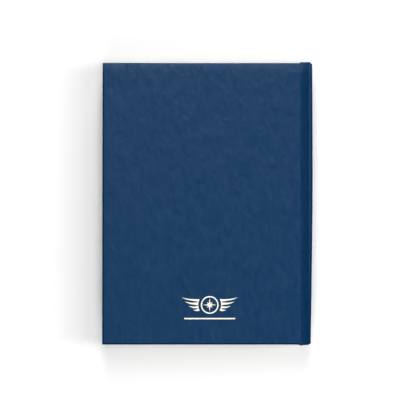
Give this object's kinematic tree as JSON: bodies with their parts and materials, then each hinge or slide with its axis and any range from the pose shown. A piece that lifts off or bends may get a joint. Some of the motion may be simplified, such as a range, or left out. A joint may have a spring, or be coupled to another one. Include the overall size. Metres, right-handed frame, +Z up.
{
  "type": "pilot logbook",
  "caption": "Hardcover case-bound A5 pilot logbook, closed, with hinged covers, sewn sections of ruled leaves that turn, endpapers, head bands and a hollow square spine.",
  "frame": {"origin": "centre of the closed book's footprint, on the surface that the front cover lies on", "axes": "+X towards the spine, +Y towards the head of the book, +Z up out of the back cover"},
  "size_m": [0.157, 0.211, 0.0162],
  "materials": {
    "cover_material": "matte laminate with a faint leathery grain",
    "greyboard": "matte",
    "leaf_paper": "uncoated, ruled",
    "endpaper": "uncoated",
    "mull": "open gauze weave",
    "spine_lining": "kraft",
    "band": "woven, two colours",
    "thread": "waxed linen",
    "emblem_print": "satin print"
  },
  "bodies": {
    "spine": {"spine_board": "greyboard", "spine_wrap": "cover_material", "back_joint": "cover_material", "front_joint": "cover_material", "mull": "mull", "spine_lining": "spine_lining", "head_band": "band", "tail_band": "band", "kettle_stitch_tail": "thread", "sewing_thread_1": "thread", "sewing_thread_2": "thread", "sewing_thread_3": "thread", "sewing_thread_4": "thread", "kettle_stitch_head": "thread", "section_06": "leaf_paper"},
    "back_cover": {"back_board": "greyboard", "back_wrap": "cover_material", "back_mull_flange": "mull", "back_pastedown": "endpaper", "emblem_ring": "emblem_print", "emblem_star": "emblem_print", "emblem_wing_left": "emblem_print", "emblem_wing_right": "emblem_print", "emblem_rule": "emblem_print"},
    "front_cover": {"front_board": "greyboard", "front_wrap": "cover_material", "front_mull_flange": "mull", "front_pastedown": "endpaper"},
    "back_endleaf": {"back_flyleaf": "endpaper"},
    "front_endleaf": {"front_flyleaf": "endpaper"},
    "leaves_07": {"section_07": "leaf_paper"},
    "leaves_08": {"section_08": "leaf_paper"},
    "leaves_09": {"section_09": "leaf_paper"},
    "leaves_10": {"section_10": "leaf_paper"},
    "leaves_11": {"section_11": "leaf_paper"},
    "leaves_05": {"section_05": "leaf_paper"},
    "leaves_04": {"section_04": "leaf_paper"},
    "leaves_03": {"section_03": "leaf_paper"},
    "leaves_02": {"section_02": "leaf_paper"},
    "leaves_01": {"section_01": "leaf_paper"}
  },
  "joints": [
    {"name": "back_cover_hinge", "type": "hinge", "parent": "spine", "child": "back_cover", "pos_m": [0.074, 0, 0.01465], "axis": [0, 1, 0], "range_deg": [0, 178], "deforming": ["back_joint"]},
    {"name": "front_cover_hinge", "type": "hinge", "parent": "spine", "child": "front_cover", "pos_m": [0.074, 0, 0.00153], "axis": [0, -1, 0], "range_deg": [0, 178], "deforming": ["front_joint"]},
    {"name": "leaves_07_turn", "type": "hinge", "parent": "spine", "child": "leaves_07", "pos_m": [0.074, 0, 0.01465], "axis": [0, 1, 0], "range_deg": [0, 178]},
    {"name": "leaves_08_turn", "type": "hinge", "parent": "spine", "child": "leaves_08", "pos_m": [0.074, 0, 0.01465], "axis": [0, 1, 0], "range_deg": [0, 178]},
    {"name": "leaves_09_turn", "type": "hinge", "parent": "spine", "child": "leaves_09", "pos_m": [0.074, 0, 0.01465], "axis": [0, 1, 0], "range_deg": [0, 178]},
    {"name": "leaves_10_turn", "type": "hinge", "parent": "spine", "child": "leaves_10", "pos_m": [0.074, 0, 0.01465], "axis": [0, 1, 0], "range_deg": [0, 178]},
    {"name": "leaves_11_turn", "type": "hinge", "parent": "spine", "child": "leaves_11", "pos_m": [0.074, 0, 0.01465], "axis": [0, 1, 0], "range_deg": [0, 178]},
    {"name": "back_endleaf_turn", "type": "hinge", "parent": "spine", "child": "back_endleaf", "pos_m": [0.074, 0, 0.01465], "axis": [0, 1, 0], "range_deg": [0, 178]},
    {"name": "leaves_05_turn", "type": "hinge", "parent": "spine", "child": "leaves_05", "pos_m": [0.074, 0, 0.00153], "axis": [0, -1, 0], "range_deg": [0, 178]},
    {"name": "leaves_04_turn", "type": "hinge", "parent": "spine", "child": "leaves_04", "pos_m": [0.074, 0, 0.00153], "axis": [0, -1, 0], "range_deg": [0, 178]},
    {"name": "leaves_03_turn", "type": "hinge", "parent": "spine", "child": "leaves_03", "pos_m": [0.074, 0, 0.00153], "axis": [0, -1, 0], "range_deg": [0, 178]},
    {"name": "leaves_02_turn", "type": "hinge", "parent": "spine", "child": "leaves_02", "pos_m": [0.074, 0, 0.00153], "axis": [0, -1, 0], "range_deg": [0, 178]},
    {"name": "leaves_01_turn", "type": "hinge", "parent": "spine", "child": "leaves_01", "pos_m": [0.074, 0, 0.00153], "axis": [0, -1, 0], "range_deg": [0, 178]},
    {"name": "front_endleaf_turn", "type": "hinge", "parent": "spine", "child": "front_endleaf", "pos_m": [0.074, 0, 0.00153], "axis": [0, -1, 0], "range_deg": [0, 178]}
  ],
  "couplings": [
    {"joint": "leaves_07_turn", "follows": "back_cover_hinge", "ratio": 0.9},
    {"joint": "leaves_08_turn", "follows": "back_cover_hinge", "ratio": 0.92},
    {"joint": "leaves_09_turn", "follows": "back_cover_hinge", "ratio": 0.94},
    {"joint": "leaves_10_turn", "follows": "back_cover_hinge", "ratio": 0.955},
    {"joint": "leaves_11_turn", "follows": "back_cover_hinge", "ratio": 0.97},
    {"joint": "back_endleaf_turn", "follows": "back_cover_hinge", "ratio": 0.985},
    {"joint": "leaves_05_turn", "follows": "front_cover_hinge", "ratio": 0.9},
    {"joint": "leaves_04_turn", "follows": "front_cover_hinge", "ratio": 0.92},
    {"joint": "leaves_03_turn", "follows": "front_cover_hinge", "ratio": 0.94},
    {"joint": "leaves_02_turn", "follows": "front_cover_hinge", "ratio": 0.955},
    {"joint": "leaves_01_turn", "follows": "front_cover_hinge", "ratio": 0.97},
    {"joint": "front_endleaf_turn", "follows": "front_cover_hinge", "ratio": 0.985}
  ]
}
